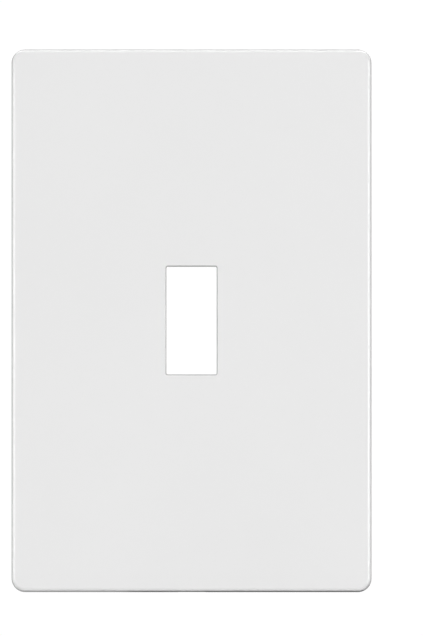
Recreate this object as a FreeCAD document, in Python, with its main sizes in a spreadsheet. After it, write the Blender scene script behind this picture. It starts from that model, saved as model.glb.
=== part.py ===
"""Screwless single-gang toggle wall plate: a clip-on face cover over a screwed mounting plate.

Millimetres.  X runs to the right seen from the room, Z is up and Y runs into the wall.  The
origin lies on the wall plane, at the centre of the plate.  Depths are measured from the wall
towards the room, so a depth is minus Y and a sketch on the XZ plane pads towards the room.
"""
import FreeCAD, Part
import math
import os
import re

import Sketcher

SIZES = [
    # alias, value in millimetres or degrees, meaning
    ("plate_width", 79.0, "face cover, outside width at the wall"),
    ("plate_height", 119.1, "face cover, outside height at the wall"),
    ("plate_depth", 7.0, "face cover, wall to front face"),
    ("corner_radius", 3.0, "face cover, corners seen from the front"),
    ("draft_angle", 2.0, "face cover, moulding draft of the skirt"),
    ("front_radius", 0.8, "face cover, round between front face and skirt"),
    ("skirt_wall", 1.7, "face cover, thickness of the skirt"),
    ("cavity_depth", 5.0, "face cover, wall to the inner face"),
    ("cavity_radius", 0.5, "face cover, round between inner face and skirt"),
    ("opening_width", 11.0, "toggle opening, width at its narrow back end"),
    ("opening_height", 23.6, "toggle opening, height at its narrow back end"),
    ("opening_corner", 0.5, "toggle opening, corners at its front end"),
    ("opening_edge", 0.12, "toggle opening, round of the front edge"),
    ("opening_draft", 3.5, "toggle opening, moulding draft of its walls"),
    ("collar_wall", 1.3, "collar behind the toggle opening, thickness"),
    ("collar_back", 3.6, "collar behind the toggle opening, depth of its end"),
    ("catch_height", 0.6, "catch ridge inside the skirt, reach"),
    ("catch_base", 0.9, "catch ridge, width at the skirt"),
    ("catch_depth", 1.1, "catch ridge, depth of its crest"),
    ("catch_length", 8.0, "catch ridge, length along the skirt"),
    ("catch_root", 0.3, "catch ridge, part sunk into the skirt"),
    ("rib_wall", 1.0, "ribs behind the face, thickness"),
    ("rib_back", 3.45, "ribs behind the face, depth of their ends"),
    ("rib_offset", 25.0, "upright ribs, distance from the centre line"),
    ("rib_span", 84.0, "upright ribs, length"),
    ("cross_rib_offset", 50.5, "level ribs, distance from the centre"),
    ("cross_rib_span", 40.0, "level ribs, length"),
    ("ejector_radius", 2.0, "ejector pin mark"),
    ("ejector_sink", 0.15, "ejector pin mark, depth"),
    ("ejector_across", 30.5, "ejector pin marks, distance from the centre line"),
    ("ejector_up", 44.0, "ejector pin marks, distance above the centre"),
    ("pry_width", 6.0, "pry notch in the bottom edge"),
    ("pry_sink", 1.0, "pry notch, depth from the wall"),
    ("base_width", 74.4, "mounting plate, outside width"),
    ("base_height", 114.5, "mounting plate, outside height"),
    ("base_depth", 3.4, "mounting plate, wall to its front face"),
    ("base_corner", 2.4, "mounting plate, corners"),
    ("base_edge", 0.4, "mounting plate, round of the front edge"),
    ("base_rim", 1.4, "mounting plate, thickness of its rim"),
    ("recess_depth", 1.8, "mounting plate, recess for the switch strap"),
    ("recess_corner", 1.0, "mounting plate, corners of the recess"),
    ("toggle_width", 12.2, "mounting plate, toggle opening"),
    ("toggle_height", 25.2, "mounting plate, toggle opening"),
    ("toggle_corner", 1.0, "mounting plate, corners of the toggle opening"),
    ("screw_pitch", 60.325, "distance between the two plate screws"),
    ("screw_hole", 3.9, "clearance hole for a plate screw"),
    ("countersink", 6.9, "countersink, diameter at the front face"),
    ("countersink_angle", 82.0, "countersink, included angle"),
    ("boss_radius", 4.5, "screw boss behind the web"),
    ("boss_back", 1.2, "screw boss, depth of its end"),
    ("window_offset", 41.67, "window over a switch screw, distance from the centre"),
    ("window_width", 9.0, "window over a switch screw"),
    ("window_height", 11.0, "window over a switch screw"),
    ("window_corner", 4.4, "window over a switch screw, corners"),
    ("back_rib_offset", 26.0, "ribs behind the web, distance from the centre line"),
    ("back_rib_span", 96.0, "ribs behind the web, length"),
    ("back_rib_back", 0.3, "ribs behind the web, depth of their ends"),
    ("tongue_inset", 0.2, "snap tongue, outer side behind the plate edge"),
    ("tongue_wall", 1.3, "snap tongue, thickness of the arm"),
    ("tongue_slot", 1.3, "slot behind a snap tongue"),
    ("tongue_length", 14.0, "snap tongue, length of the arm"),
    ("tongue_gap", 0.6, "gap past the free end of a snap tongue"),
    ("tongue_back", 0.15, "snap tongue, depth of its back"),
    ("tongue_front", 3.3, "snap tongue, depth of its front"),
    ("tongue_gusset", 0.9, "snap tongue, flare at the root"),
    ("side_root", 37.0, "side tongues, height of the root"),
    ("end_root", 26.0, "end tongues, distance of the root from the centre line"),
    ("jog_wall", 1.2, "rim that turns in behind a tongue slot, thickness"),
    ("tooth_reach", 0.5, "ratchet tooth, height"),
    ("tooth_pitch", 0.55, "ratchet teeth, spacing"),
    ("tooth_undercut", 0.12, "ratchet tooth, lean of the holding side"),
    ("tooth_start", 1.55, "ratchet teeth, depth of the first one"),
    ("tooth_length", 9.0, "ratchet teeth, length along the arm"),
    ("head_radius", 3.3, "plate screw, head"),
    ("head_rim", 3.26, "plate screw, depth where the cone ends"),
    ("head_land", 0.1, "plate screw, straight edge of the head"),
    ("head_dome", 0.95, "plate screw, height of the oval top"),
    ("slot_width", 1.2, "plate screw, driver slot"),
    ("slot_sink", 1.25, "plate screw, driver slot below the top"),
    ("neck_radius", 1.5, "plate screw, plain neck under the head"),
    ("neck_end", 0.95, "plate screw, depth where the neck ends"),
    ("thread_radius", 1.753, "plate screw, number 6 thread crest"),
    ("thread_root", 1.27, "plate screw, number 6 thread root"),
    ("thread_pitch", 0.794, "plate screw, 32 threads per inch"),
    ("thread_flat", 0.1, "plate screw, flat at the thread root"),
    ("screw_length", 12.7, "plate screw, from the head rim to the tip"),
    ("tip_radius", 1.3, "plate screw, flat end of the tip"),
    ("thread_flank", 30.0, "plate screw, half angle of the thread groove"),
    ("thread_rise", 0.2, "plate screw, start of the groove in front of the full thread"),
    ("tip_taper", 0.4, "plate screw, length of the pointed end"),
    ("spill", 1.0, "how far a cutting outline runs past the edge it cuts"),
]

ALIASES = re.compile(r"\b(" + "|".join(name for name, _, _ in SIZES) + r")\b")
TOOTH_COUNT = 3      # ratchet teeth on every snap tongue
TOLERANCE = 1e-6     # millimetres or cubic millimetres that count as nothing
FULL_TURN = 360      # degrees


def make_sheet(doc):
    """Write the driving sizes into a spreadsheet, one named row each."""
    sheet = doc.addObject("Spreadsheet::Sheet", "Dimensions")
    for row, (name, size, meaning) in enumerate(SIZES, start=1):
        sheet.set(f"A{row}", name)
        sheet.set(f"B{row}", str(size))
        sheet.set(f"C{row}", meaning)
        sheet.setAlias(f"B{row}", name)
    doc.recompute()
    return sheet


def formula(text):
    """Turn sheet names in a formula into references to the sheet."""
    return ALIASES.sub(r"Dimensions.\1", text)


class Builder:
    """One PartDesign body and the sheet that sizes it."""

    def __init__(self, doc, sheet, name):
        self.doc = doc
        self.sheet = sheet
        self.body = doc.addObject("PartDesign::Body", name)
        self.body.Label = name
        self.volume = 0.0

    def size(self, text):
        return float(self.sheet.evalExpression(text))

    def bind(self, item, field, text):
        item.setExpression(field, formula(text))

    def plane(self, role):
        return next(f for f in self.body.Origin.OriginFeatures if f.Role == role)

    def sketch(self, name, role, offset="0", across="0", up="0"):
        """Empty sketch on an origin plane, moved off it and along it."""
        sketch = self.body.newObject("Sketcher::SketchObject", name)
        sketch.AttachmentSupport = [(self.plane(role), "")]
        sketch.MapMode = "FlatFace"
        self.bind(sketch, "AttachmentOffset.Base.x", across)
        self.bind(sketch, "AttachmentOffset.Base.y", up)
        self.bind(sketch, "AttachmentOffset.Base.z", offset)
        return sketch

    def measure(self, sketch, name, kind, places, text):
        """Driving dimension bound to the sheet."""
        index = sketch.addConstraint(Sketcher.Constraint(kind, *places, self.size(text)))
        sketch.renameConstraint(index, name)
        self.bind(sketch, f"Constraints.{name}", text)

    def outline(self, sketch, corners):
        """Closed polygon; every corner is a pair of formulas."""
        points = [FreeCAD.Vector(self.size(x), self.size(y), 0) for x, y in corners]
        count = len(points)
        for i, point in enumerate(points):
            sketch.addGeometry(Part.LineSegment(point, points[(i + 1) % count]))
        for i in range(count):
            sketch.addConstraint(Sketcher.Constraint("Coincident", i, 2, (i + 1) % count, 1))
        for i, (x, y) in enumerate(corners):
            self.measure(sketch, f"across{i}", "DistanceX", (-1, 1, i, 1), x)
            self.measure(sketch, f"up{i}", "DistanceY", (-1, 1, i, 1), y)

    def rectangle(self, sketch, left, right, low, high):
        self.outline(sketch, [(left, low), (right, low), (right, high), (left, high)])

    def rounded(self, sketch, width, height, radius):
        """Rounded rectangle centred on the sketch origin."""
        half_x = self.size(width) / 2
        half_y = self.size(height) / 2
        bend = self.size(radius)
        flat_x = half_x - bend
        flat_y = half_y - bend
        sides = [((-flat_x, -half_y), (flat_x, -half_y)), ((half_x, -flat_y), (half_x, flat_y)),
                 ((flat_x, half_y), (-flat_x, half_y)), ((-half_x, flat_y), (-half_x, -flat_y))]
        for start, end in sides:
            sketch.addGeometry(Part.LineSegment(FreeCAD.Vector(*start, 0), FreeCAD.Vector(*end, 0)))
        for i, (sign_x, sign_y) in enumerate([(1, -1), (1, 1), (-1, 1), (-1, -1)]):
            centre = FreeCAD.Vector(sign_x * flat_x, sign_y * flat_y, 0)
            circle = Part.Circle(centre, FreeCAD.Vector(0, 0, 1), bend)
            begin = (i - 1) * math.pi / 2
            sketch.addGeometry(Part.ArcOfCircle(circle, begin, begin + math.pi / 2))
        for i in range(4):
            sketch.addConstraint(Sketcher.Constraint("Tangent", i, 2, 4 + i, 1))
            sketch.addConstraint(Sketcher.Constraint("Tangent", 4 + i, 2, (i + 1) % 4, 1))
            sketch.addConstraint(Sketcher.Constraint(("Horizontal", "Vertical")[i % 2], i))
        for i in range(5, 8):
            sketch.addConstraint(Sketcher.Constraint("Equal", 4, i))
        sketch.addConstraint(Sketcher.Constraint("Symmetric", 0, 1, 2, 1, -1, 1))
        self.measure(sketch, "width", "DistanceX", (3, 1, 1, 1), width)
        self.measure(sketch, "height", "DistanceY", (0, 1, 2, 2), height)
        self.measure(sketch, "bend", "Radius", (4,), radius)

    def circles(self, sketch, centres, radius):
        """Circles of one radius; every centre is a pair of formulas."""
        for i, (x, y) in enumerate(centres):
            centre = FreeCAD.Vector(self.size(x), self.size(y), 0)
            circle = Part.Circle(centre, FreeCAD.Vector(0, 0, 1), self.size(radius))
            sketch.addGeometry(circle)
            self.measure(sketch, f"across{i}", "DistanceX", (-1, 1, i, 3), x)
            self.measure(sketch, f"up{i}", "DistanceY", (-1, 1, i, 3), y)
            self.measure(sketch, f"radius{i}", "Radius", (i,), radius)

    def feature(self, kind, name, sketch, volume_grows):
        """New feature on a sketch, marked with the way it has to change the volume."""
        feature = self.body.newObject(f"PartDesign::{kind}", name)
        feature.Profile = sketch
        feature.Refine = True
        feature.addProperty("App::PropertyBool", "Grows")
        feature.Grows = volume_grows
        return feature

    def pad(self, name, sketch, length, taper="0", both_ways=False):
        pad = self.feature("Pad", name, sketch, True)
        pad.Midplane = both_ways
        self.bind(pad, "Length", length)
        self.bind(pad, "TaperAngle", taper)
        return self.settle(pad)

    def pocket(self, name, sketch, length, taper="0", to_room=False):
        pocket = self.feature("Pocket", name, sketch, False)
        pocket.Reversed = to_room
        self.bind(pocket, "Length", length)
        self.bind(pocket, "TaperAngle", taper)
        return self.settle(pocket)

    def settle(self, feature):
        """Recompute, and stop if the feature is broken or changes the volume the wrong way."""
        self.doc.recompute()
        if "Invalid" in feature.State or "Error" in feature.State or not feature.Shape.isValid():
            raise RuntimeError(f"{self.body.Label}: {feature.Name} is not valid")
        change = feature.Shape.Volume - self.volume
        if (change > 0) != feature.Grows or abs(change) < TOLERANCE:
            raise RuntimeError(f"{self.body.Label}: {feature.Name} changes the volume by {change}")
        self.volume = feature.Shape.Volume
        return feature

    def fillet(self, name, radius, pick, grows=False):
        """Round the edges of the latest feature that the test picks."""
        base = self.body.Tip
        edges = [f"Edge{i}" for i, edge in enumerate(base.Shape.Edges, start=1) if pick(edge)]
        if not edges:
            raise RuntimeError(f"{self.body.Label}: {name} finds no edge")
        fillet = self.body.newObject("PartDesign::Fillet", name)
        fillet.Base = (base, edges)
        fillet.addProperty("App::PropertyBool", "Grows")
        fillet.Grows = grows
        self.bind(fillet, "Radius", radius)
        return self.settle(fillet)

    def mirror(self, name, feature, *roles):
        """Repeat one feature across one or two origin planes."""
        pattern = self.body.newObject("PartDesign::MultiTransform", name)
        pattern.Originals = [feature]
        steps = []
        for role in roles:
            step = self.body.newObject("PartDesign::Mirrored", f"{name}_{role}")
            step.MirrorPlane = (self.plane(role), [""])
            steps.append(step)
        pattern.Transformations = steps
        pattern.addProperty("App::PropertyBool", "Grows")
        pattern.Grows = feature.Grows
        self.body.Tip = pattern
        return self.settle(pattern)


def flat_at(edge, depth):
    """Whether an edge lies in the plane at a depth in front of the wall."""
    box = edge.BoundBox
    return max(abs(box.YMin + depth), abs(box.YMax + depth)) < TOLERANCE


def inside(edge, half_x, half_z):
    """Whether an edge lies within a centred rectangle."""
    box = edge.BoundBox
    return max(-box.XMin, box.XMax) < half_x and max(-box.ZMin, box.ZMax) < half_z


def face_cover(doc, sheet):
    """Clip-on front: shell with a drafted skirt, toggle opening, ribs and catch ridges."""
    cover = Builder(doc, sheet, "face_cover")
    outer = cover.sketch("outer", "XZ_Plane")
    cover.rounded(outer, "plate_width", "plate_height", "corner_radius")
    cover.pad("shell", outer, "plate_depth", taper="-draft_angle")
    cavity = cover.sketch("cavity", "XZ_Plane")
    cover.rounded(cavity, "plate_width - 2 * skirt_wall", "plate_height - 2 * skirt_wall",
                  "corner_radius - skirt_wall")
    cover.pocket("hollow", cavity, "cavity_depth", taper="-draft_angle", to_room=True)
    front = cover.size("plate_depth")
    floor = cover.size("cavity_depth")
    cover.fillet("front_round", "front_radius", lambda edge: flat_at(edge, front))
    cover.fillet("cavity_round", "cavity_radius", lambda edge: flat_at(edge, floor), grows=True)
    collar = cover.sketch("collar", "XZ_Plane", "collar_back")
    cover.rounded(collar, "opening_width + 2 * collar_wall", "opening_height + 2 * collar_wall",
                  "opening_corner + collar_wall")
    cover.pad("opening_collar", collar, "cavity_depth - collar_back")
    opening = cover.sketch("opening", "XZ_Plane", "plate_depth")
    flare = "2 * (plate_depth - collar_back) * tan(opening_draft)"
    cover.rounded(opening, f"opening_width + {flare}", f"opening_height + {flare}", "opening_corner")
    cover.pocket("toggle_opening", opening, "plate_depth", taper="-opening_draft")
    reach_x = cover.size("opening_width")
    reach_z = cover.size("opening_height")
    cover.fillet("opening_round", "opening_edge",
                 lambda edge: flat_at(edge, front) and inside(edge, reach_x, reach_z))
    catch_ridges(cover)
    face_ribs(cover)
    face_marks(cover)
    return cover.body


def catch_ridges(cover):
    """Triangular ridges inside the skirt, one facing each snap tongue."""
    below_root = "tongue_length - tooth_length + catch_length / 2"
    for name, role, half, centre in [
            ("side", "XY_Plane", "plate_width / 2", f"side_root - ({below_root})"),
            ("end", "YZ_Plane", "plate_height / 2", f"end_root - ({below_root})")]:
        wall = f"{half} - skirt_wall - catch_depth * tan(draft_angle)"
        section = [(f"{wall} + catch_root", "-catch_depth - catch_base / 2"),
                   (f"{wall}", "-catch_depth - catch_base / 2"),
                   (f"{wall} - catch_height", "-catch_depth"),
                   (f"{wall}", "-catch_depth + catch_base / 2"),
                   (f"{wall} + catch_root", "-catch_depth + catch_base / 2")]
        if name == "end":
            section = [(depth, reach) for reach, depth in section]
        sketch = cover.sketch(f"{name}_catch_section", role, centre)
        cover.outline(sketch, section)
        ridge = cover.pad(f"{name}_catch", sketch, "catch_length", both_ways=True)
        cover.mirror(f"{name}_catches", ridge, "YZ_Plane", "XY_Plane")


def face_ribs(cover):
    """Ribs that hold the face off the mounting plate."""
    upright = cover.sketch("upright_rib_outline", "XZ_Plane", "rib_back")
    cover.rectangle(upright, "rib_offset - rib_wall / 2", "rib_offset + rib_wall / 2",
                    "-rib_span / 2", "rib_span / 2")
    rib = cover.pad("upright_rib", upright, "cavity_depth - rib_back")
    cover.mirror("upright_ribs", rib, "YZ_Plane")
    level = cover.sketch("level_rib_outline", "XZ_Plane", "rib_back")
    cover.rectangle(level, "-cross_rib_span / 2", "cross_rib_span / 2",
                    "cross_rib_offset - rib_wall / 2", "cross_rib_offset + rib_wall / 2")
    rib = cover.pad("level_rib", level, "cavity_depth - rib_back")
    cover.mirror("level_ribs", rib, "XY_Plane")


def face_marks(cover):
    """Ejector pin marks behind the face and the pry notch in the bottom edge."""
    marks = cover.sketch("ejector_outline", "XZ_Plane", "cavity_depth")
    cover.circles(marks, [("ejector_across", "ejector_up"), ("ejector_across / 2", "0")],
                  "ejector_radius")
    pins = cover.pocket("ejector_marks", marks, "ejector_sink", to_room=True)
    cover.mirror("all_ejector_marks", pins, "YZ_Plane", "XY_Plane")
    notch = cover.sketch("pry_outline", "XZ_Plane")
    cover.rectangle(notch, "-pry_width / 2", "pry_width / 2", "-plate_height / 2 - spill",
                    "-plate_height / 2 + skirt_wall + catch_height")
    cover.pocket("pry_notch", notch, "pry_sink", to_room=True)


def mounting_plate(doc, sheet):
    """Plate screwed to the switch: rim, web, openings and the slots round the snap tongues."""
    base = Builder(doc, sheet, "mounting_plate")
    outer = base.sketch("outer", "XZ_Plane")
    base.rounded(outer, "base_width", "base_height", "base_corner")
    base.pad("plate", outer, "base_depth")
    front = base.size("base_depth")
    base.fillet("front_round", "base_edge", lambda edge: flat_at(edge, front))
    recess = base.sketch("recess", "XZ_Plane")
    base.rounded(recess, "base_width - 2 * base_rim", "base_height - 2 * base_rim", "recess_corner")
    base.pocket("strap_recess", recess, "recess_depth", to_room=True)
    tongue_pockets(base)
    toggle = base.sketch("toggle", "XZ_Plane", "base_depth")
    base.rounded(toggle, "toggle_width", "toggle_height", "toggle_corner")
    base.pocket("toggle_opening", toggle, "base_depth")
    window = base.sketch("window", "XZ_Plane", "base_depth", up="window_offset")
    base.rounded(window, "window_width", "window_height", "window_corner")
    cut = base.pocket("screw_window", window, "base_depth")
    base.mirror("screw_windows", cut, "XY_Plane")
    rib_outline = base.sketch("back_rib_outline", "XZ_Plane", "back_rib_back")
    base.rectangle(rib_outline, "back_rib_offset - rib_wall / 2", "back_rib_offset + rib_wall / 2",
                   "-back_rib_span / 2", "back_rib_span / 2")
    rib = base.pad("back_rib", rib_outline, "recess_depth - back_rib_back")
    base.mirror("back_ribs", rib, "YZ_Plane")
    screw_seats(base)
    return base.body


def tongue_pockets(base):
    """Clearance round every snap tongue, with the rim turned in behind it."""
    for name, half, root in [("side", "base_width / 2", "side_root"),
                             ("end", "base_height / 2", "end_root")]:
        floor = f"{half} - tongue_inset - tongue_wall - tongue_slot"
        tip = f"{root} - tongue_length - tongue_gap"
        wall = [f"{floor} - jog_wall", f"{half} - base_edge", f"{tip} - jog_wall",
                f"{root} + jog_wall"]
        slot = [floor, f"{half} + spill", tip, root]
        if name == "end":
            wall = wall[2:] + wall[:2]
            slot = slot[2:] + slot[:2]
        jog = base.sketch(f"{name}_jog_outline", "XZ_Plane")
        base.rectangle(jog, *wall)
        turned_rim = base.pad(f"{name}_jog", jog, "base_depth - base_edge")
        base.mirror(f"{name}_jogs", turned_rim, "YZ_Plane", "XY_Plane")
        outline = base.sketch(f"{name}_slot_outline", "XZ_Plane", "base_depth")
        base.rectangle(outline, *slot)
        cut = base.pocket(f"{name}_slot", outline, "base_depth")
        base.mirror(f"{name}_slots", cut, "YZ_Plane", "XY_Plane")


def screw_seats(base):
    """Bosses and countersunk holes for the two plate screws."""
    centres = [("0", "screw_pitch / 2"), ("0", "-screw_pitch / 2")]
    bosses = base.sketch("boss_outline", "XZ_Plane", "boss_back")
    base.circles(bosses, centres, "boss_radius")
    base.pad("screw_bosses", bosses, "recess_depth - boss_back")
    holes = base.sketch("hole_centres", "XZ_Plane", "base_depth")
    base.circles(holes, centres, "screw_hole / 2")
    seat = base.feature("Hole", "screw_seats", holes, False)
    base.doc.recompute()
    seat.ThreadType = "None"
    seat.DepthType = "ThroughAll"
    seat.HoleCutType = "Countersink"
    base.bind(seat, "Diameter", "screw_hole")
    base.bind(seat, "HoleCutDiameter", "countersink")
    base.bind(seat, "HoleCutCountersinkAngle", "countersink_angle")
    base.settle(seat)


def tooth_section(face):
    """Corners of the ratchet teeth as pairs of reach and depth formulas."""
    corners = [(f"{face} - tongue_inset", "tooth_start"), (face, "tooth_start")]
    for i in range(TOOTH_COUNT):
        start = f"tooth_start + {i} * tooth_pitch"
        corners.append((f"{face} + tooth_reach", f"{start} + tooth_undercut"))
        corners.append((face, f"{start} + tooth_pitch"))
    corners.append((f"{face} - tongue_inset", f"tooth_start + {TOOTH_COUNT} * tooth_pitch"))
    return corners


def snap_tongue(doc, sheet, name, half, root, on_end):
    """Springy arm in the plane of the mounting plate, with ratchet teeth near its free end."""
    tongue = Builder(doc, sheet, name)
    face = f"{half} - tongue_inset"
    back = f"{face} - tongue_wall"
    tip = f"{root} - tongue_length"
    arm = [(face, root), (face, tip), (back, tip), (back, f"{root} - tongue_gusset"),
           (f"{back} - tongue_gusset", root)]
    teeth = [(reach, f"-({depth})") for reach, depth in tooth_section(face)]
    if on_end:
        arm = [(along, reach) for reach, along in arm]
        teeth = [(depth, reach) for reach, depth in teeth]
    arm_outline = tongue.sketch("arm_outline", "XZ_Plane", "tongue_back")
    tongue.outline(arm_outline, arm)
    tongue.pad("arm", arm_outline, "tongue_front - tongue_back")
    section = tongue.sketch("tooth_section", "YZ_Plane" if on_end else "XY_Plane", tip)
    tongue.outline(section, teeth)
    tongue.pad("teeth", section, "tooth_length")
    return tongue.body


def mirrored_copy(doc, name, source, normal):
    """Mirror image of a finished sub-part across a plane through the origin."""
    copy = doc.addObject("Part::Mirroring", name)
    copy.Label = name
    copy.Source = source
    copy.Base = FreeCAD.Vector(0, 0, 0)
    copy.Normal = normal
    return copy


def snap_tongues(doc, sheet):
    """Eight tongues: two on every side of the mounting plate."""
    across = FreeCAD.Vector(1, 0, 0)
    up = FreeCAD.Vector(0, 0, 1)
    right_upper = snap_tongue(doc, sheet, "snap_tongue_right_upper", "base_width / 2",
                              "side_root", on_end=False)
    top_right = snap_tongue(doc, sheet, "snap_tongue_top_right", "base_height / 2",
                            "end_root", on_end=True)
    left_upper = mirrored_copy(doc, "snap_tongue_left_upper", right_upper, across)
    right_lower = mirrored_copy(doc, "snap_tongue_right_lower", right_upper, up)
    left_lower = mirrored_copy(doc, "snap_tongue_left_lower", left_upper, up)
    top_left = mirrored_copy(doc, "snap_tongue_top_left", top_right, across)
    bottom_right = mirrored_copy(doc, "snap_tongue_bottom_right", top_right, up)
    bottom_left = mirrored_copy(doc, "snap_tongue_bottom_left", top_left, up)
    return [right_upper, left_upper, right_lower, left_lower,
            top_right, top_left, bottom_right, bottom_left]


def plate_screw(doc, sheet, name, height):
    """Slotted oval-head machine screw with a cut thread, head towards the room."""
    screw = Builder(doc, sheet, name)
    tip = "head_rim + head_land - screw_length"
    neck_top = "head_rim - (head_radius - neck_radius) / tan(countersink_angle / 2)"
    crest = "neck_end - (thread_radius - neck_radius)"
    blank = [("0", f"-({tip})"), ("tip_radius", f"-({tip})"),
             ("thread_radius", f"-({tip} + tip_taper)"), ("thread_radius", f"-({crest})"),
             ("neck_radius", "-neck_end"), ("neck_radius", f"-({neck_top})"),
             ("head_radius", "-head_rim"), ("head_radius", "-(head_rim + head_land)"),
             ("0", "-(head_rim + head_land)")]
    outline = screw.sketch("blank_outline", "XY_Plane")
    screw.outline(outline, blank)
    shank = screw.feature("Revolution", "blank", outline, True)
    shank.ReferenceAxis = (outline, ["V_Axis"])
    shank.Angle = FULL_TURN
    screw.settle(shank)
    oval_top(screw)
    cut_thread(screw, crest)
    slot = screw.sketch("slot_outline", "XZ_Plane", "head_rim + head_land + head_dome")
    screw.rectangle(slot, "-slot_width / 2", "slot_width / 2", "-head_radius - spill",
                    "head_radius + spill")
    screw.pocket("driver_slot", slot, "slot_sink")
    screw.bind(screw.body, "Placement.Base.z", height)
    return screw.body


def oval_top(screw):
    """Domed top of the head, a segment of a ball."""
    ball = "(head_radius * head_radius + head_dome * head_dome) / (2 * head_dome)"
    rise = screw.size("head_dome")
    flat = screw.size("head_rim + head_land")
    radius = screw.size(ball)
    reach = screw.size("head_radius")
    sketch = screw.sketch("dome_outline", "XY_Plane")
    centre = FreeCAD.Vector(0, radius - rise - flat, 0)
    swing = math.asin(reach / radius)
    arc = Part.ArcOfCircle(Part.Circle(centre, FreeCAD.Vector(0, 0, 1), radius),
                           -math.pi / 2, -math.pi / 2 + swing)
    top = FreeCAD.Vector(0, -flat - rise, 0)
    middle = FreeCAD.Vector(0, -flat, 0)
    rim = FreeCAD.Vector(reach, -flat, 0)
    sketch.addGeometry(arc)
    sketch.addGeometry(Part.LineSegment(rim, middle))
    sketch.addGeometry(Part.LineSegment(middle, top))
    sketch.addConstraint(Sketcher.Constraint("Coincident", 0, 2, 1, 1))
    sketch.addConstraint(Sketcher.Constraint("Coincident", 1, 2, 2, 1))
    sketch.addConstraint(Sketcher.Constraint("Coincident", 2, 2, 0, 1))
    sketch.addConstraint(Sketcher.Constraint("Horizontal", 1))
    sketch.addConstraint(Sketcher.Constraint("PointOnObject", 1, 2, -2))
    sketch.addConstraint(Sketcher.Constraint("PointOnObject", 0, 1, -2))
    sketch.addConstraint(Sketcher.Constraint("PointOnObject", 0, 3, -2))
    screw.measure(sketch, "reach", "DistanceX", (-1, 1, 1, 1), "head_radius")
    screw.measure(sketch, "flat", "DistanceY", (-1, 1, 1, 1), "-(head_rim + head_land)")
    screw.measure(sketch, "ball", "Radius", (0,), ball)
    dome = screw.feature("Revolution", "oval_top", sketch, True)
    dome.ReferenceAxis = (sketch, ["V_Axis"])
    dome.Angle = FULL_TURN
    screw.settle(dome)


def cut_thread(screw, crest):
    """Helical groove from the neck to past the tip."""
    half_root = "thread_flat / 2"
    outside = "thread_radius + thread_flat"
    half_mouth = f"({half_root} + ({outside} - thread_root) * tan(thread_flank))"
    start = f"({crest} + thread_rise)"
    sketch = screw.sketch("thread_section", "XY_Plane")
    screw.outline(sketch, [("thread_root", f"-{start} - {half_root}"),
                           ("thread_root", f"-{start} + {half_root}"),
                           (outside, f"-{start} + {half_mouth}"),
                           (outside, f"-{start} - {half_mouth}")])
    thread = screw.feature("SubtractiveHelix", "thread", sketch, False)
    thread.ReferenceAxis = (sketch, ["V_Axis"])
    thread.Mode = "pitch-height-angle"
    thread.Angle = 0
    thread.Growth = 0
    thread.LeftHanded = False
    thread.Reversed = False
    screw.bind(thread, "Pitch", "thread_pitch")
    screw.bind(thread, "Height", "screw_length - head_rim - head_land + 2 * thread_pitch")
    screw.settle(thread)


def write_parts(doc, subparts):
    """Check every sub-part and write one STEP file for each."""
    doc.recompute()
    for item in doc.Objects:
        if "Invalid" in item.State or "Error" in item.State:
            raise RuntimeError(f"{item.Label} is broken: {item.State}")
    os.makedirs("parts", exist_ok=True)
    for subpart in subparts:
        shape = subpart.Shape
        if shape.isNull() or not shape.isValid() or not shape.Solids:
            raise RuntimeError(f"{subpart.Label} has no valid solid")
        shape.exportStep(os.path.join("parts", f"{subpart.Label}.step"))
        box = shape.BoundBox
        print(f"{subpart.Label}: {len(shape.Solids)} solid, {shape.Volume:.1f} mm3, "
              f"{box.XLength:.2f} x {box.YLength:.2f} x {box.ZLength:.2f} mm")


def main():
    doc = FreeCAD.newDocument("wall_plate")
    sheet = make_sheet(doc)
    subparts = [face_cover(doc, sheet), mounting_plate(doc, sheet)]
    subparts += snap_tongues(doc, sheet)
    subparts.append(plate_screw(doc, sheet, "screw_upper", "screw_pitch / 2"))
    subparts.append(plate_screw(doc, sheet, "screw_lower", "-screw_pitch / 2"))
    write_parts(doc, subparts)


main()
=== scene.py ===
"""Looks of the screwless wall plate: white mouldings, zinc screws, soft studio light."""
import math

import bmesh
import bpy
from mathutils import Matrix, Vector


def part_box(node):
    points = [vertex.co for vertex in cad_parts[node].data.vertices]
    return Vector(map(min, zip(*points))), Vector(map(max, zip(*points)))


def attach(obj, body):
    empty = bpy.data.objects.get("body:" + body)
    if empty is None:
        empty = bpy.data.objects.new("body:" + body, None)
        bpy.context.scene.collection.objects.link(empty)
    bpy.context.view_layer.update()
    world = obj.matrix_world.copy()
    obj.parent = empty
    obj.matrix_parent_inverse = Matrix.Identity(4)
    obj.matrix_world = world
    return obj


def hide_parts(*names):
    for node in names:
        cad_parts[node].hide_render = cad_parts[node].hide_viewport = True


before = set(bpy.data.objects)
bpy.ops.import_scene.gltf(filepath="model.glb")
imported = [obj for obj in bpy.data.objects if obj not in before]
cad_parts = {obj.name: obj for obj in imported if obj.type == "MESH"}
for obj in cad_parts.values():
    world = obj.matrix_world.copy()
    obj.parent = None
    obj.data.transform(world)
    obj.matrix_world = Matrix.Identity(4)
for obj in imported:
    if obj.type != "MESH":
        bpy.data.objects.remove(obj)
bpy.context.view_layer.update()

MM = 0.001
cover_low, cover_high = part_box("face_cover")

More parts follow.
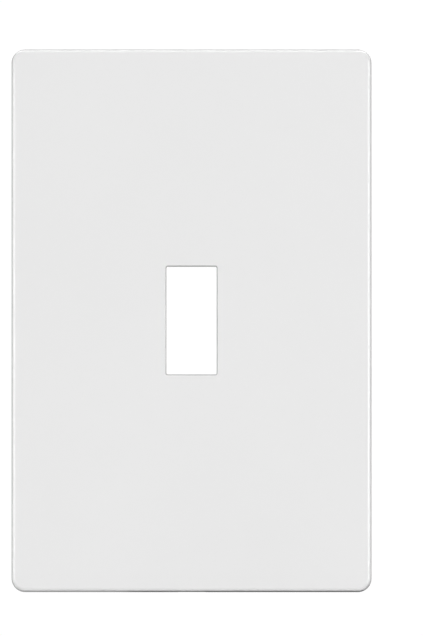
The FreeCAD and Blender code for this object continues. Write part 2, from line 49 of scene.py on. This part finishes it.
# ------------------------------------------------------- sizes of the face cover, millimetres
HALF_WIDTH = cover_high.x / MM
HALF_HEIGHT = cover_high.z / MM
DEPTH = -cover_low.y / MM
CORNER = 3.0
DRAFT_ANGLE = 2.0
FRONT_ROUND = 0.8
SKIRT = 1.7
CAVITY = 5.0                        # from the wall to the back of the face
CAVITY_ROUND = 0.5
CAVITY_CORNER = 1.3
OPENING_HALF_WIDTH = 5.5
OPENING_HALF_HEIGHT = 11.8
OPENING_CORNER = 0.5
OPENING_ROUND = 0.12
OPENING_DRAFT_ANGLE = 3.5
COLLAR = 1.3
COLLAR_BACK = 3.6                   # from the wall to the end of the collar
CATCH_HEIGHT = 0.6                  # how far a catch ridge stands out of the skirt
CATCH_HALF_BASE = 0.45
CATCH_DEPTH = 1.1                   # from the wall to the crest of the ridge
CATCH_HALF_LENGTH = 4.0
CATCH_ROOT = 0.3                    # how deep the ridge sits in the skirt
SIDE_CATCH = 28.0                   # from the middle to each ridge on the long sides
END_CATCH = 17.0                    # from the middle to each ridge on the ends
RIB_HALF_WALL = 0.5
RIB_BACK = 3.45
RIB_ROOT = 0.2
UPRIGHT_RIB = (25.0, 42.0)          # distance from the centre line, half length
LEVEL_RIB = (50.5, 20.0)
EJECTOR_RADIUS = 2.0
EJECTOR_MARKS = [(30.5, 44.0), (30.5, -44.0), (15.25, 0.0)]
WITNESS_HALF_WIDTH = 0.12
WITNESS_HEIGHT = 0.06
PRY_HALF_WIDTH = 3.0
PRY_SINK = 1.0

DRAFT = math.tan(math.radians(DRAFT_ANGLE))
OPENING_DRAFT = math.tan(math.radians(OPENING_DRAFT_ANGLE))

# ------------------------------------------------------- fineness of the meshes
CORNER_STEPS = 14
SIDE_STEPS = 24
ROUND_STEPS = 10
CIRCLE_STEPS = 40
FACE_SHARES = (0.05, 0.2, 0.5, 0.8, 0.95)   # loops across the front face, edge to opening
CAVITY_SHARES = (0.3, 0.6)          # loops across the cavity, collar to skirt
CREASE = 0.05                       # millimetres between the two loops that keep an edge crisp
SHARP_ANGLE = 30.0                  # degrees between faces that are no longer shaded smooth
SPILL = 1.0                         # millimetres that a cutter runs past what it cuts


# ------------------------------------------------------- mesh helpers
def at(x, depth, z):
    """Point in metres from millimetres, with the depth measured from the wall towards the room."""
    return Vector((x * MM, -depth * MM, z * MM))


def arc_points(centre, radius, start, end, steps):
    """Points on an arc in a plane, angles in degrees."""
    angles = [math.radians(start + (end - start) * step / steps) for step in range(steps + 1)]
    return [(centre[0] + radius * math.cos(a), centre[1] + radius * math.sin(a)) for a in angles]


def rounded_loop(half_x, half_z, radius, depth):
    """Rounded rectangle at one depth, with the same count of points whatever its size."""
    arcs = []
    for sign_x, sign_z, start in [(1, 1, 0), (-1, 1, 90), (-1, -1, 180), (1, -1, 270)]:
        centre = (sign_x * (half_x - radius), sign_z * (half_z - radius))
        arcs.append(arc_points(centre, radius, start, start + 90, CORNER_STEPS))
    loop = []
    for arc, following in zip(arcs, arcs[1:] + arcs[:1]):
        corner = [at(x, depth, z) for x, z in arc]
        goal = at(following[0][0], depth, following[0][1])
        loop += corner
        loop += [corner[-1].lerp(goal, step / SIDE_STEPS) for step in range(1, SIDE_STEPS)]
    return loop


def loops_between(first, last, shares):
    """Loops in between two loops, at these shares of the way."""
    return [[a.lerp(b, share) for a, b in zip(first, last)] for share in shares]


def skin(bm, loops):
    """Quads between neighbouring loops, and from the last loop back to the first."""
    rows = [[bm.verts.new(point) for point in loop] for loop in loops]
    for first, second in zip(rows, rows[1:] + rows[:1]):
        for i, vert in enumerate(first):
            bm.faces.new((vert, first[i - 1], second[i - 1], second[i]))


def prism(bm, near_end, far_end):
    """Solid between two polygons of equal count."""
    rows = [[bm.verts.new(point) for point in end] for end in (near_end, far_end)]
    for i in range(len(near_end)):
        bm.faces.new((rows[0][i], rows[0][i - 1], rows[1][i - 1], rows[1][i]))
    for row in rows:
        bm.faces.new(row)


def block(bm, across, depths, up):
    """Plain block between two values on each axis."""
    ends = [[at(x, d, z) for x, z in [(across[0], up[0]), (across[1], up[0]),
                                      (across[1], up[1]), (across[0], up[1])]] for d in depths]
    prism(bm, *ends)


def finish_mesh(bm, name):
    """Turn a bmesh into an object, smooth except over sharp edges."""
    bmesh.ops.recalc_face_normals(bm, faces=bm.faces[:])
    limit = math.radians(SHARP_ANGLE)
    for face in bm.faces:
        face.smooth = True
    for edge in bm.edges:
        edge.smooth = len(edge.link_faces) == 2 and edge.calc_face_angle() < limit
    mesh = bpy.data.meshes.new(name)
    bm.to_mesh(mesh)
    bm.free()
    thing = bpy.data.objects.new(name, mesh)
    bpy.context.scene.collection.objects.link(thing)
    return thing


# ------------------------------------------------------- face cover
def outside_loops():
    """Skirt from the wall to the front, and the round onto the front face."""
    centre_depth = DEPTH - FRONT_ROUND
    lean = math.radians(DRAFT_ANGLE)
    touch = centre_depth + FRONT_ROUND * math.sin(lean)
    centre_inset = touch * DRAFT + FRONT_ROUND * math.cos(lean)
    section = [(depth * DRAFT, depth) for depth in (0.0, CREASE, touch / 2, touch - CREASE)]
    section += arc_points((centre_inset, centre_depth), FRONT_ROUND, 180 - DRAFT_ANGLE, 90, ROUND_STEPS)
    section.append((centre_inset + CREASE, DEPTH))
    return [rounded_loop(HALF_WIDTH - inset, HALF_HEIGHT - inset, CORNER - inset, depth)
            for inset, depth in section]


def opening_loops():
    """Toggle opening: front edge, drafted walls and the end of the collar behind them."""
    lip = DEPTH - OPENING_ROUND
    flare = (lip - COLLAR_BACK) * OPENING_DRAFT
    section = [(flare + OPENING_ROUND + CREASE, DEPTH)]
    section += arc_points((flare + OPENING_ROUND, lip), OPENING_ROUND, 90, 180, ROUND_STEPS)
    section += [((depth - COLLAR_BACK) * OPENING_DRAFT, depth)
                for depth in (lip - CREASE, COLLAR_BACK + CREASE, COLLAR_BACK)]
    loops = [rounded_loop(OPENING_HALF_WIDTH + reach, OPENING_HALF_HEIGHT + reach,
                          OPENING_CORNER - flare + reach, depth) for reach, depth in section]
    loops += [rounded_loop(OPENING_HALF_WIDTH + COLLAR, OPENING_HALF_HEIGHT + COLLAR,
                           OPENING_CORNER + COLLAR, depth) for depth in (COLLAR_BACK, CAVITY)]
    return loops


def inside_loops():
    """Cavity behind the face: its round, the inside of the skirt and the edge on the wall."""
    top = SKIRT + CAVITY * DRAFT
    section = [(top + CAVITY_ROUND + CREASE, CAVITY)]
    section += arc_points((top + CAVITY_ROUND, CAVITY - CAVITY_ROUND), CAVITY_ROUND, 90, 180, ROUND_STEPS)
    section += [(SKIRT + depth * DRAFT, depth) for depth in (CREASE, 0.0)]
    loops = [rounded_loop(HALF_WIDTH - inset, HALF_HEIGHT - inset, CAVITY_CORNER, depth)
             for inset, depth in section]
    loops.append(rounded_loop(HALF_WIDTH - CREASE, HALF_HEIGHT - CREASE, CORNER - CREASE, 0.0))
    return loops


def notched(shell):
    """Cut the pry notch out of the bottom edge."""
    bm = bmesh.new()
    wall = -HALF_HEIGHT + SKIRT + CATCH_HEIGHT
    block(bm, (-PRY_HALF_WIDTH, PRY_HALF_WIDTH), (-SPILL, PRY_SINK), (-HALF_HEIGHT - SPILL, wall))
    cutter = finish_mesh(bm, "pry_cutter")
    cut = shell.modifiers.new("pry", "BOOLEAN")
    cut.operation = "DIFFERENCE"
    cut.solver = "EXACT"
    cut.object = cutter
    depsgraph = bpy.context.evaluated_depsgraph_get()
    mesh = bpy.data.meshes.new_from_object(shell.evaluated_get(depsgraph))
    shell.modifiers.clear()
    shell.data = mesh
    bpy.data.objects.remove(cutter)


def cover_shell():
    """The cover's moulding as one closed skin, without what stands up inside it."""
    outside, opening, inside = outside_loops(), opening_loops(), inside_loops()
    across_face = loops_between(outside[-1], opening[0], FACE_SHARES)
    across_cavity = loops_between(opening[-1], inside[0], CAVITY_SHARES)
    bm = bmesh.new()
    skin(bm, outside + across_face + opening + across_cavity + inside)
    shell = finish_mesh(bm, "face_cover_shell")
    notched(shell)
    return shell


def catch_ridge(bm, half, side, middle, on_end):
    """Triangular ridge inside the skirt that a snap tongue's teeth hold."""
    wall = half - SKIRT - CATCH_DEPTH * DRAFT
    low, high = CATCH_DEPTH - CATCH_HALF_BASE, CATCH_DEPTH + CATCH_HALF_BASE
    section = [(wall + CATCH_ROOT, high), (wall, high), (wall - CATCH_HEIGHT, CATCH_DEPTH),
               (wall, low), (wall + CATCH_ROOT, low)]
    ends = []
    for along in (middle - CATCH_HALF_LENGTH, middle + CATCH_HALF_LENGTH):
        if on_end:
            ends.append([at(along, depth, side * reach) for reach, depth in section])
        else:
            ends.append([at(side * reach, depth, along) for reach, depth in section])
    prism(bm, *ends)


def ejector_witness(bm, centre):
    """Thin raised line round an ejector pin mark."""
    section = [(WITNESS_HALF_WIDTH, WITNESS_HEIGHT), (WITNESS_HALF_WIDTH / 2, -WITNESS_HEIGHT),
               (-WITNESS_HALF_WIDTH / 2, -WITNESS_HEIGHT), (-WITNESS_HALF_WIDTH, WITNESS_HEIGHT)]
    loops = []
    for reach, lift in section:
        circle = arc_points(centre, EJECTOR_RADIUS + reach, 0, 360, CIRCLE_STEPS)[:-1]
        loops.append([at(x, CAVITY + lift, z) for x, z in circle])
    skin(bm, loops)


def cover_ribs():
    """Everything that stands up inside the cover."""
    bm = bmesh.new()
    rib_depths = (RIB_BACK, CAVITY + RIB_ROOT)
    for sign in (-1, 1):
        for side in (-1, 1):
            catch_ridge(bm, HALF_WIDTH, side, sign * SIDE_CATCH, on_end=False)
            catch_ridge(bm, HALF_HEIGHT, side, sign * END_CATCH, on_end=True)
        place, half_length = UPRIGHT_RIB
        block(bm, (sign * place - RIB_HALF_WALL, sign * place + RIB_HALF_WALL), rib_depths,
              (-half_length, half_length))
        place, half_length = LEVEL_RIB
        block(bm, (-half_length, half_length), rib_depths,
              (sign * place - RIB_HALF_WALL, sign * place + RIB_HALF_WALL))
        for across, up in EJECTOR_MARKS:
            ejector_witness(bm, (sign * across, up))
    return finish_mesh(bm, "face_cover_ribs")


# ------------------------------------------------------- materials
# A noise is given as its cells a metre, its detail and its roughness.
TONE_DRIFT = (18.0, 3.0, 0.5)
SHEEN_DRIFT = (140.0, 4.0, 0.5)
ORANGE_PEEL = (450.0, 2.0, 0.5)
COVER_GRAIN = (2600.0, 3.0, 0.5)
BASE_GRAIN = (3200.0, 3.0, 0.5)
ZINC_TINT = (420.0, 4.0, 0.5)
ZINC_STREAKS = (1500.0, 5.0, 0.65)
ZINC_PITS = (4000.0, 3.0, 0.5)
FLOOR_DRIFT = (3.0, 4.0, 0.5)
FLAG_DRIFT = (800.0, 4.0, 0.5)
NOISE_LOW, NOISE_HIGH = 0.3, 0.7    # the range in which nearly all of a noise lies

PEEL_HEIGHT = 0.01                  # millimetres
PEEL_STRENGTH = 0.12
GRAIN_STRENGTH = 0.2
PIT_HEIGHT = 0.01                   # millimetres
PIT_STRENGTH = 0.25
BEVEL_SAMPLES = 4
ZINC_EDGE = 0.04                    # millimetres
POLYCARBONATE_IOR = 1.585
STUDIO_ROUGHNESS = 0.9
BLACK = (0.0, 0.0, 0.0, 1.0)
WHITE = (1.0, 1.0, 1.0, 1.0)


def new_material(name):
    """New material with its nodes, its links and its shader."""
    material = bpy.data.materials.new(name)
    material.use_nodes = True
    nodes = material.node_tree.nodes
    return material, nodes, material.node_tree.links, nodes["Principled BSDF"]


def noise(nodes, links, coords, scale, detail, roughness):
    """Noise laid out in the object's own metres."""
    node = nodes.new("ShaderNodeTexNoise")
    node.inputs["Scale"].default_value = scale
    node.inputs["Detail"].default_value = detail
    node.inputs["Roughness"].default_value = roughness
    links.new(coords.outputs["Object"], node.inputs["Vector"])
    return node.outputs["Fac"]


def two_tones(nodes, links, source, first, last, socket):
    """Colour that drifts between two tones with a noise."""
    node = nodes.new("ShaderNodeValToRGB")
    node.color_ramp.elements[0].position = NOISE_LOW
    node.color_ramp.elements[1].position = NOISE_HIGH
    node.color_ramp.elements[0].color = (*first, 1.0)
    node.color_ramp.elements[1].color = (*last, 1.0)
    links.new(source, node.inputs["Fac"])
    links.new(node.outputs["Color"], socket)


def uneven_sheen(nodes, links, source, smooth, rough, shader):
    """Roughness that drifts between two values with a noise."""
    node = nodes.new("ShaderNodeMapRange")
    node.inputs["From Min"].default_value = NOISE_LOW
    node.inputs["From Max"].default_value = NOISE_HIGH
    node.inputs["To Min"].default_value = smooth
    node.inputs["To Max"].default_value = rough
    links.new(source, node.inputs["Value"])
    links.new(node.outputs["Result"], shader.inputs["Roughness"])


def relief(nodes, links, edge_round, heights, shader):
    """Edges softened by a round in millimetres, then a bump for every (noise, millimetres, strength)."""
    bevel = nodes.new("ShaderNodeBevel")
    bevel.samples = BEVEL_SAMPLES
    bevel.inputs["Radius"].default_value = edge_round * MM
    normal = bevel.outputs["Normal"]
    for source, height, strength in heights:
        bump = nodes.new("ShaderNodeBump")
        bump.inputs["Strength"].default_value = strength
        bump.inputs["Distance"].default_value = height * MM
        links.new(source, bump.inputs["Height"])
        links.new(normal, bump.inputs["Normal"])
        normal = bump.outputs["Normal"]
    links.new(normal, shader.inputs["Normal"])


def white_plastic(name, tones, sheen, grain, grain_height, edge_round, mirror):
    """Moulded white plastic: faint tone drift, uneven sheen, orange peel and fine grain."""
    material, nodes, links, shader = new_material(name)
    coords = nodes.new("ShaderNodeTexCoord")
    two_tones(nodes, links, noise(nodes, links, coords, *TONE_DRIFT), *tones, shader.inputs["Base Color"])
    uneven_sheen(nodes, links, noise(nodes, links, coords, *SHEEN_DRIFT), *sheen, shader)
    heights = [(noise(nodes, links, coords, *ORANGE_PEEL), PEEL_HEIGHT, PEEL_STRENGTH),
               (noise(nodes, links, coords, *grain), grain_height, GRAIN_STRENGTH)]
    relief(nodes, links, edge_round, heights, shader)
    shader.inputs["IOR"].default_value = POLYCARBONATE_IOR
    shader.inputs["Specular IOR Level"].default_value = mirror
    return material


def cover_plastic():
    """Smooth, slightly glossy white of the face cover."""
    return white_plastic("cover_white_look", tones=[(0.8, 0.8, 0.8), (0.815, 0.815, 0.815)],
                         sheen=(0.21, 0.25), grain=COVER_GRAIN, grain_height=0.004,
                         edge_round=0.1, mirror=0.75)


def base_plastic():
    """Matt white of the mounting plate and its snap tongues."""
    return white_plastic("base_white_look", tones=[(0.76, 0.76, 0.75), (0.79, 0.79, 0.78)],
                         sheen=(0.42, 0.54), grain=BASE_GRAIN, grain_height=0.02,
                         edge_round=0.14, mirror=0.5)


def zinc_steel():
    """Bright zinc plating: streaky sheen, faint blue and straw tints and fine pits."""
    material, nodes, links, shader = new_material("screw_zinc_look")
    coords = nodes.new("ShaderNodeTexCoord")
    shader.inputs["Metallic"].default_value = 1.0
    two_tones(nodes, links, noise(nodes, links, coords, *ZINC_TINT), (0.72, 0.75, 0.78),
              (0.84, 0.82, 0.76), shader.inputs["Base Color"])
    uneven_sheen(nodes, links, noise(nodes, links, coords, *ZINC_STREAKS), 0.22, 0.42, shader)
    pits = noise(nodes, links, coords, *ZINC_PITS)
    relief(nodes, links, ZINC_EDGE, [(pits, PIT_HEIGHT, PIT_STRENGTH)], shader)
    return material


def studio_surface(name, tones, drift, glow=0.0):
    """Dull surface of a thing in the studio; one that glows is black but for the light it gives."""
    material, nodes, links, shader = new_material(name)
    coords = nodes.new("ShaderNodeTexCoord")
    shader.inputs["Roughness"].default_value = STUDIO_ROUGHNESS
    socket = shader.inputs["Base Color"]
    if glow:
        socket.default_value = BLACK
        shader.inputs["Emission Strength"].default_value = glow
        socket = shader.inputs["Emission Color"]
    two_tones(nodes, links, noise(nodes, links, coords, *drift), *tones, socket)
    return material


def paint(thing, material):
    """Give an object one material in place of those it has."""
    thing.data.materials.clear()
    thing.data.materials.append(material)


def dress_object():
    """Put the detailed cover in place and give every piece its material."""
    cover_look, base_look, zinc_look = cover_plastic(), base_plastic(), zinc_steel()
    shell = cover_shell()
    for piece in (shell, cover_ribs()):
        paint(piece, cover_look)
        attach(piece, "cover")
    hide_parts("face_cover")
    for name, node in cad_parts.items():
        if name.startswith("screw"):
            paint(node, zinc_look)
        elif name != "face_cover":
            paint(node, base_look)


# ------------------------------------------------------- studio
LIGHT_DISTANCE = 0.95               # metres from the object to every light
# what a light does: (it shades dull surfaces, it shines in glossy ones)
BOTH, SHADES, SHINES = (True, True), (True, False), (False, True)
# name, what it does, degrees to the right, degrees up, width and height in metres, power in watts
LIGHTS = [
    ("front_softbox", BOTH, 0, 0, 1.6, 1.6, 2.65),
    ("left_softbox", SHADES, -52, 0, 0.55, 0.8, 4.34),
    ("right_softbox", SHADES, 52, 0, 0.55, 0.8, 5.04),
    ("left_glint", SHINES, -56, 0, 0.2, 0.2, 1.9),
    ("right_glint", SHINES, 56, 0, 0.2, 0.2, 1.9),
    ("left_rim", BOTH, -105, 0, 0.15, 0.8, 1.84),
    ("right_rim", BOTH, 105, 0, 0.15, 0.8, 1.17),
    ("top_softbox", BOTH, 0, 60, 0.8, 0.3, 1.18),
    ("top_rim", BOTH, 0, 98, 0.8, 0.3, 3.76),
    ("bottom_softbox", BOTH, 0, -65, 0.8, 0.3, 0.8),
    ("back_softbox", SHADES, 180, 0, 0.7, 0.7, 4.0),
    ("back_right_glint", SHINES, 150, 45, 0.4, 0.4, 2.0),
    ("back_left_glint", SHINES, -150, 45, 0.4, 0.4, 2.0),
]
TENT = 0.23                         # brightness of the white tent round the object
BACKDROP = 1.02                     # brightness of the backdrop that the camera sees


def toward(side_angle, up_angle, distance):
    """Place at a distance from the object, straight in front of it when both angles are nought."""
    side, up = math.radians(side_angle), math.radians(up_angle)
    return Vector((math.sin(side) * math.cos(up), -math.cos(side) * math.cos(up), math.sin(up))) * distance


def build_lights():
    """Area lights that all look at the object and that the camera doesn't see."""
    for name, (shades, shines), side_angle, up_angle, width, height, power in LIGHTS:
        light = bpy.data.lights.new(name, "AREA")
        light.shape = "RECTANGLE"
        light.size = width
        light.size_y = height
        light.energy = power
        lamp = bpy.data.objects.new(name, light)
        lamp.location = toward(side_angle, up_angle, LIGHT_DISTANCE)
        lamp.rotation_euler = lamp.location.to_track_quat("Z", "Y").to_euler()
        lamp.visible_camera = False
        lamp.visible_diffuse = shades
        lamp.visible_glossy = shines
        bpy.context.scene.collection.objects.link(lamp)


def build_world():
    """White backdrop for the camera, a dimmer even tent for everything else."""
    world = bpy.data.worlds.new("studio")
    bpy.context.scene.world = world
    world.use_nodes = True
    nodes, links = world.node_tree.nodes, world.node_tree.links
    tent = nodes["Background"]
    tent.inputs["Color"].default_value = WHITE
    tent.inputs["Strength"].default_value = TENT
    backdrop = nodes.new("ShaderNodeBackground")
    backdrop.inputs["Color"].default_value = WHITE
    backdrop.inputs["Strength"].default_value = BACKDROP
    ray = nodes.new("ShaderNodeLightPath")
    mix = nodes.new("ShaderNodeMixShader")
    links.new(ray.outputs["Is Camera Ray"], mix.inputs[0])
    links.new(tent.outputs["Background"], mix.inputs[1])
    links.new(backdrop.outputs["Background"], mix.inputs[2])
    links.new(mix.outputs["Shader"], nodes["World Output"].inputs["Surface"])


FLOOR_TONES = [(0.68, 0.68, 0.67), (0.71, 0.71, 0.7)]
FLOOR_CELLS = 8                     # squares along each side
FLOOR_HALF_SIZE = 2.0               # metres
FLOOR_DROP = 0.2                    # metres from the object's centre down to the floor


def build_floor():
    """Pale light table that the camera sees, but which throws no light or shadow on the object."""
    bm = bmesh.new()
    bmesh.ops.create_grid(bm, x_segments=FLOOR_CELLS, y_segments=FLOOR_CELLS, size=FLOOR_HALF_SIZE)
    floor = finish_mesh(bm, "studio_floor")
    floor.location.z = -FLOOR_DROP
    floor.visible_diffuse = False
    floor.visible_glossy = False
    floor.visible_shadow = False
    paint(floor, studio_surface("floor_look", FLOOR_TONES, FLOOR_DRIFT, glow=1.0))


FLAG_TONES = [(0.01, 0.01, 0.01), (0.02, 0.02, 0.02)]
FLAG_ACROSS = (-14.0, 60.0)         # millimetres, like the three that follow
FLAG_DEPTHS = (-120.0, 5.5)
FLAG_GAP = 2.65
FLAG_THICKNESS = 0.4


def build_flag():
    """Black studio flag under the bottom edge, unseen by the camera, that keeps that edge dark."""
    bm = bmesh.new()
    top = -HALF_HEIGHT - FLAG_GAP
    block(bm, FLAG_ACROSS, FLAG_DEPTHS, (top - FLAG_THICKNESS, top))
    flag = finish_mesh(bm, "studio_flag")
    flag.visible_camera = False
    paint(flag, studio_surface("flag_look", FLAG_TONES, FLAG_DRIFT))


CAMERA_DISTANCE = 5.0               # metres
CAMERA_REACH = (0.1, 30.0)          # metres to the nearest and the farthest thing that it sees
CAMERA_RISE = -0.6                  # degrees above the plate's centre
SENSOR_HEIGHT = 24.0                # millimetres
FRAME_FILL = 0.8532                 # plate height as a share of the frame's height
SHIFT_SIDE = 0.0314                 # plate left of the frame's middle, as a share of its height
SHIFT_DOWN = 0.0044                 # plate below the frame's middle


def build_camera():
    """Long lens a touch below straight ahead, shifted so that the plate stands left in the frame."""
    camera = bpy.data.cameras.new("camera")
    camera.sensor_fit = "VERTICAL"
    camera.sensor_height = SENSOR_HEIGHT
    frame_height = 2 * HALF_HEIGHT * MM / FRAME_FILL
    camera.lens = SENSOR_HEIGHT * CAMERA_DISTANCE / frame_height
    camera.shift_x = SHIFT_SIDE
    camera.shift_y = SHIFT_DOWN
    camera.clip_start, camera.clip_end = CAMERA_REACH
    eye = bpy.data.objects.new("camera", camera)
    eye.location = toward(0, CAMERA_RISE, CAMERA_DISTANCE)
    eye.rotation_euler = (math.radians(90 - CAMERA_RISE), 0.0, 0.0)
    bpy.context.scene.collection.objects.link(eye)
    bpy.context.scene.camera = eye


def plain_tones():
    """Show brightness as it is, with no film curve."""
    settings = bpy.context.scene.view_settings
    settings.view_transform = "Standard"
    settings.look = "None"


dress_object()
build_floor()
build_flag()
build_world()
build_lights()
build_camera()
plain_tones()
